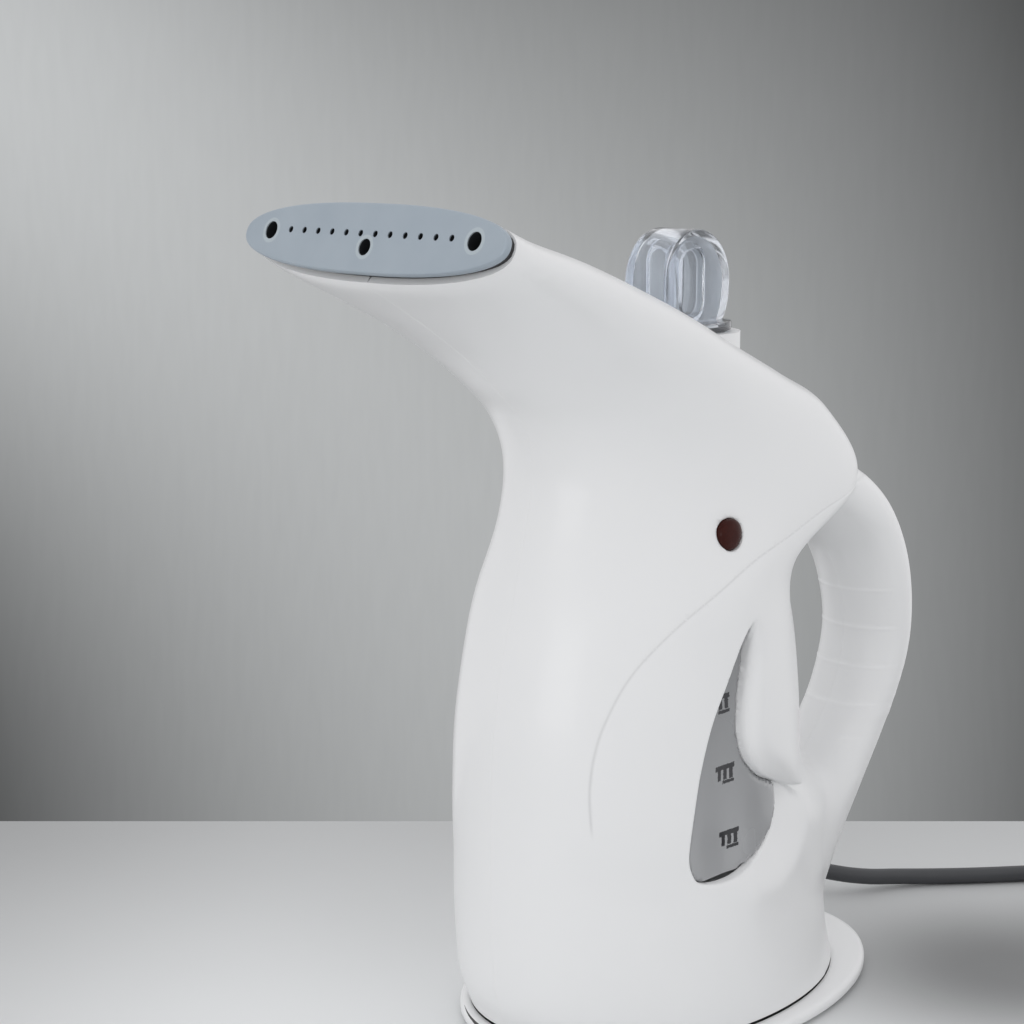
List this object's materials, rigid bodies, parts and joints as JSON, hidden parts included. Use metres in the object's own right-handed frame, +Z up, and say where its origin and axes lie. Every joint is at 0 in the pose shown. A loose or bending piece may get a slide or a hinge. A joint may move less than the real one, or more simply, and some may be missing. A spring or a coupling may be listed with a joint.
{
  "type": "garment steamer",
  "caption": "Handheld garment steamer: kettle-shaped body with a closed rear grip, forward neck with a slotted steam plate, clear filler cap, level window, lamp and mains cord.",
  "frame": {"origin": "middle of the footprint of the steamer without its cord, on the plane under the rubber feet", "axes": "+Z up; -X towards the steam plate, +X towards the grip; +Y is the side without the lamp"},
  "size_m": [0.3521, 0.1998, 0.2584],
  "materials": {
    "shell": "satin gloss, moulded",
    "white_plastic": "satin gloss, moulded",
    "inner_plastic": "moulded, matt",
    "pale_plastic": "moulded, matt",
    "tank_plastic": "translucent grey moulding",
    "clear_plastic": "clear moulded plastic",
    "red_lens": "dark red lens",
    "lamp_glass": "glass bulb",
    "plate_metal": "satin blue-grey coating",
    "bare_steel": "rolled and bright",
    "cast_aluminium": "as cast, faced on top",
    "screw_steel": "zinc plated",
    "pin_metal": "nickel plated brass",
    "black_rubber": "moulded rubber",
    "red_rubber": "silicone",
    "pale_tube": "silicone tube",
    "cord_rubber": "extruded, matt dark grey",
    "wire_cover": "silicone covered wire",
    "ceramic_body": "unglazed"
  },
  "bodies": {
    "steamer": {"right_housing": "shell", "left_housing": "shell", "foot_ring": "shell", "base_plate": "inner_plastic", "rubber_feet": "black_rubber", "base_screws": "screw_steel", "housing_screws": "screw_steel", "steam_plate": "plate_metal", "nozzle_gasket": "black_rubber", "steam_baffle": "bare_steel", "steam_tube": "pale_tube", "tube_collar": "red_rubber", "filler_neck": "white_plastic", "water_tank": "tank_plastic", "tank_lid": "tank_plastic", "tank_seal": "red_rubber", "boiler_disc": "cast_aluminium", "boiler_screws": "screw_steel", "heating_element": "bare_steel", "thermostat": "inner_plastic", "thermal_fuse": "ceramic_body", "terminal_block": "pale_plastic", "lead_wires": "wire_cover", "lamp_lens": "red_lens", "indicator_lamp": "lamp_glass", "lamp_clip": "black_rubber", "cord_clamp": "pale_plastic", "clamp_screws": "screw_steel", "strain_relief": "cord_rubber", "power_cord": "cord_rubber", "cord_coil": "cord_rubber", "cord_tie": "inner_plastic", "plug_body": "cord_rubber", "plug_pins": "pin_metal"},
    "cap_lifter": {"cap_seal": "black_rubber"},
    "cap": {"filler_cap": "clear_plastic"}
  },
  "joints": [
    {"name": "cap_lift", "type": "slide", "parent": "steamer", "child": "cap_lifter", "axis": [0, 0, 1], "range_m": [0, 0.04]},
    {"name": "cap_turn", "type": "hinge", "parent": "cap_lifter", "child": "cap", "pos_m": [0.00626, 0, 0.2163], "axis": [0, 0, 1], "range_deg": [0, 270]}
  ]
}
